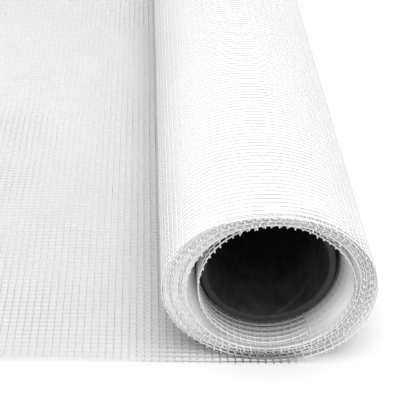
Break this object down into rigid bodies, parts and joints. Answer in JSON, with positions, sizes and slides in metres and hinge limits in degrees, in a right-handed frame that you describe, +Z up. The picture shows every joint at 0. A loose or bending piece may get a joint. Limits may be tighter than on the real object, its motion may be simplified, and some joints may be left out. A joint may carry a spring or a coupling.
{
  "type": "insect screen roll",
  "caption": "Fine coated fiberglass insect mesh, wound loosely into an oval roll on a dark paper tube, with its free end laid out flat beside the roll.",
  "frame": {"origin": "middle of the bounding box, at the floor that the roll and the laid-out sheet rest on", "axes": "+Y along the roll's axis and across the sheet's width, +X from the laid-out sheet towards the roll, +Z up"},
  "size_m": [0.3316, 1, 0.0355],
  "materials": {
    "coated_mesh": "white plastic coated fiberglass mesh, satin",
    "dark_paper": "dark grey spiral wound paper tube, matte"
  },
  "bodies": {
    "root": {"screen_sheet": "coated_mesh", "core_tube": "dark_paper"}
  },
  "joints": []
}
